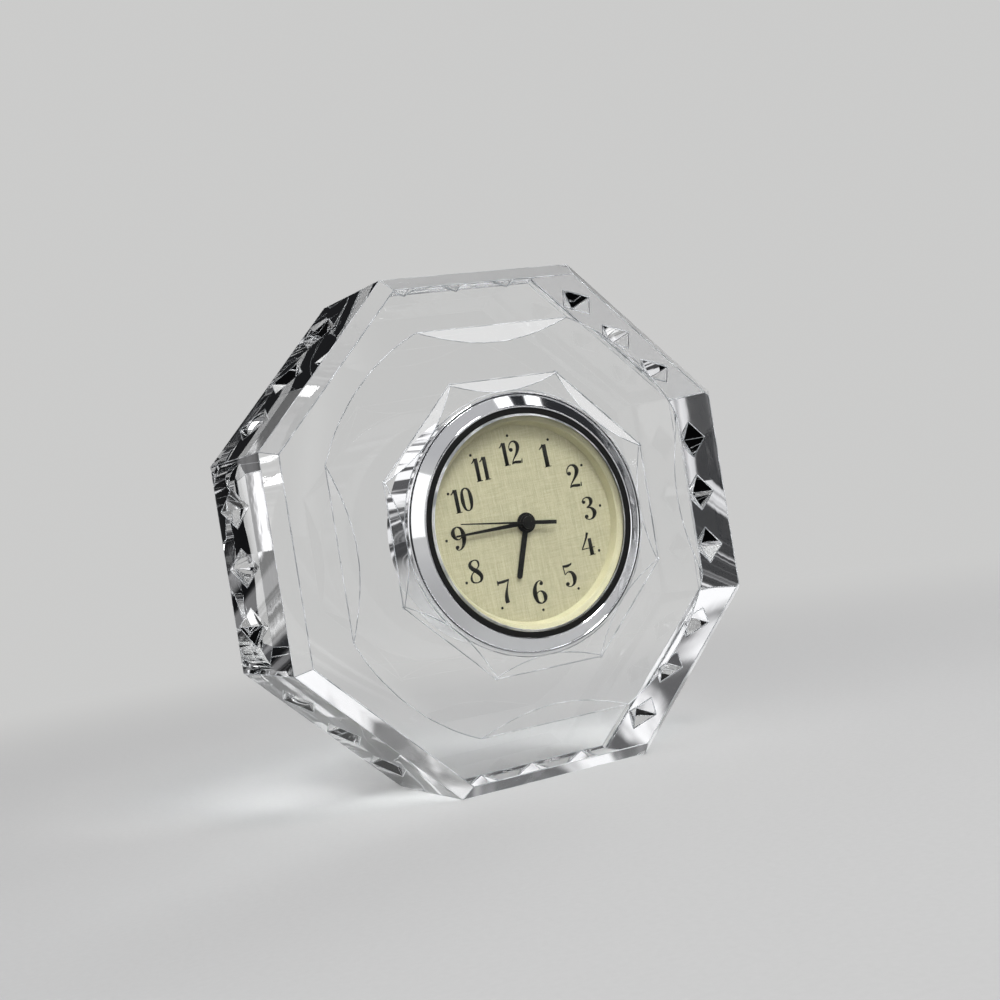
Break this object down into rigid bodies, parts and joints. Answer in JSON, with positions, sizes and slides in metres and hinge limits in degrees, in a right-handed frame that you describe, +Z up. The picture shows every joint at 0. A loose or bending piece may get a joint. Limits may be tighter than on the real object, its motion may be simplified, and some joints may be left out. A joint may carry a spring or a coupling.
{
  "type": "crystal desk clock",
  "caption": "Eight-sided cut crystal block with bevelled front and diamond-cut sides, holding a round quartz clock insert.",
  "frame": {"origin": "middle of the bounding box's footprint, on the flat bottom wall that the block rests on", "axes": "+Z up, the dial faces -Y, +X to the right of someone facing the dial"},
  "size_m": [0.0974, 0.0362, 0.0974],
  "materials": {
    "crystal": "polished lead crystal, cut facets",
    "grip_rubber": "moulded",
    "case_metal": "satin",
    "bezel_chrome": "polished",
    "lens_glass": "clear, polished",
    "gasket_rubber": "smooth",
    "flange_plastic": "pale cream, satin",
    "dial_metal": "champagne, vertically brushed",
    "hand_black": "black",
    "train_brass": "machined",
    "motor_steel": "stamped",
    "coil_copper": "enamelled wire",
    "movement_plastic": "moulded",
    "board_laminate": "solder resist",
    "chip_resin": "potted",
    "can_metal": "drawn",
    "cell_steel": "plated",
    "clip_brass": "stamped strip",
    "back_plastic": "moulded, fine grain",
    "screw_steel": "plated"
  },
  "bodies": {
    "block": {"crystal_block": "crystal"},
    "insert": {"grip_ring": "grip_rubber", "case_cup": "case_metal", "bezel": "bezel_chrome", "lens": "lens_glass", "lens_gasket": "gasket_rubber", "dial_flange": "flange_plastic", "dial_plate": "dial_metal", "stator": "motor_steel", "coil_core": "motor_steel", "coil": "coil_copper", "main_plate": "movement_plastic", "train_bridge": "movement_plastic", "circuit_board": "board_laminate", "control_chip": "chip_resin", "quartz_can": "can_metal", "button_cell": "cell_steel", "cell_minus_clip": "clip_brass", "cell_plus_clip": "clip_brass", "back_cover": "back_plastic", "plate_screws": "screw_steel", "bridge_screws": "screw_steel", "board_screws": "screw_steel", "core_screws": "screw_steel"},
    "second_arbor": {"second_hand": "hand_black", "second_wheel": "train_brass"},
    "minute_arbor": {"minute_hand": "hand_black", "center_wheel": "train_brass"},
    "hour_pipe": {"hour_hand": "hand_black", "hour_wheel": "train_brass"},
    "third_arbor": {"third_wheel": "train_brass"},
    "fifth_arbor": {"fifth_wheel": "train_brass"},
    "rotor_arbor": {"rotor": "motor_steel"},
    "motion_arbor": {"minute_wheel": "train_brass"},
    "knob_arbor": {"setting_knob": "back_plastic"},
    "hatch": {"battery_hatch": "back_plastic"}
  },
  "joints": [
    {"name": "insert_pull", "type": "slide", "parent": "block", "child": "insert", "axis": [0, -1, 0], "range_m": [0, 0.03]},
    {"name": "hatch_lift", "type": "slide", "parent": "insert", "child": "hatch", "axis": [0, 1, 0], "range_m": [0, 0.005]},
    {"name": "second_turn", "type": "hinge", "parent": "insert", "child": "second_arbor", "pos_m": [0, -0.00995, 0.0487], "axis": [0, 1, 0], "continuous": true},
    {"name": "minute_turn", "type": "hinge", "parent": "insert", "child": "minute_arbor", "pos_m": [0, -0.00995, 0.0487], "axis": [0, 1, 0], "continuous": true},
    {"name": "hour_turn", "type": "hinge", "parent": "insert", "child": "hour_pipe", "pos_m": [0, -0.00995, 0.0487], "axis": [0, 1, 0], "continuous": true},
    {"name": "third_turn", "type": "hinge", "parent": "insert", "child": "third_arbor", "pos_m": [-0.0037, -0.00995, 0.0544], "axis": [0, 1, 0], "continuous": true},
    {"name": "fifth_turn", "type": "hinge", "parent": "insert", "child": "fifth_arbor", "pos_m": [0.00381, -0.00995, 0.04283], "axis": [0, 1, 0], "continuous": true},
    {"name": "rotor_turn", "type": "hinge", "parent": "insert", "child": "rotor_arbor", "pos_m": [0.01001, -0.00995, 0.04093], "axis": [0, 1, 0], "continuous": true},
    {"name": "motion_turn", "type": "hinge", "parent": "insert", "child": "motion_arbor", "pos_m": [0.00175, -0.00995, 0.05444], "axis": [0, 1, 0], "continuous": true},
    {"name": "knob_turn", "type": "hinge", "parent": "insert", "child": "knob_arbor", "pos_m": [0.00448, -0.00995, 0.05978], "axis": [0, 1, 0], "continuous": true}
  ],
  "couplings": [
    {"joint": "minute_turn", "follows": "second_turn", "ratio": 0.016667},
    {"joint": "hour_turn", "follows": "second_turn", "ratio": 0.0013889},
    {"joint": "third_turn", "follows": "second_turn", "ratio": -0.13333},
    {"joint": "fifth_turn", "follows": "second_turn", "ratio": -6},
    {"joint": "rotor_turn", "follows": "second_turn", "ratio": 30},
    {"joint": "motion_turn", "follows": "second_turn", "ratio": -0.0055556},
    {"joint": "knob_turn", "follows": "second_turn", "ratio": 0.016667}
  ]
}
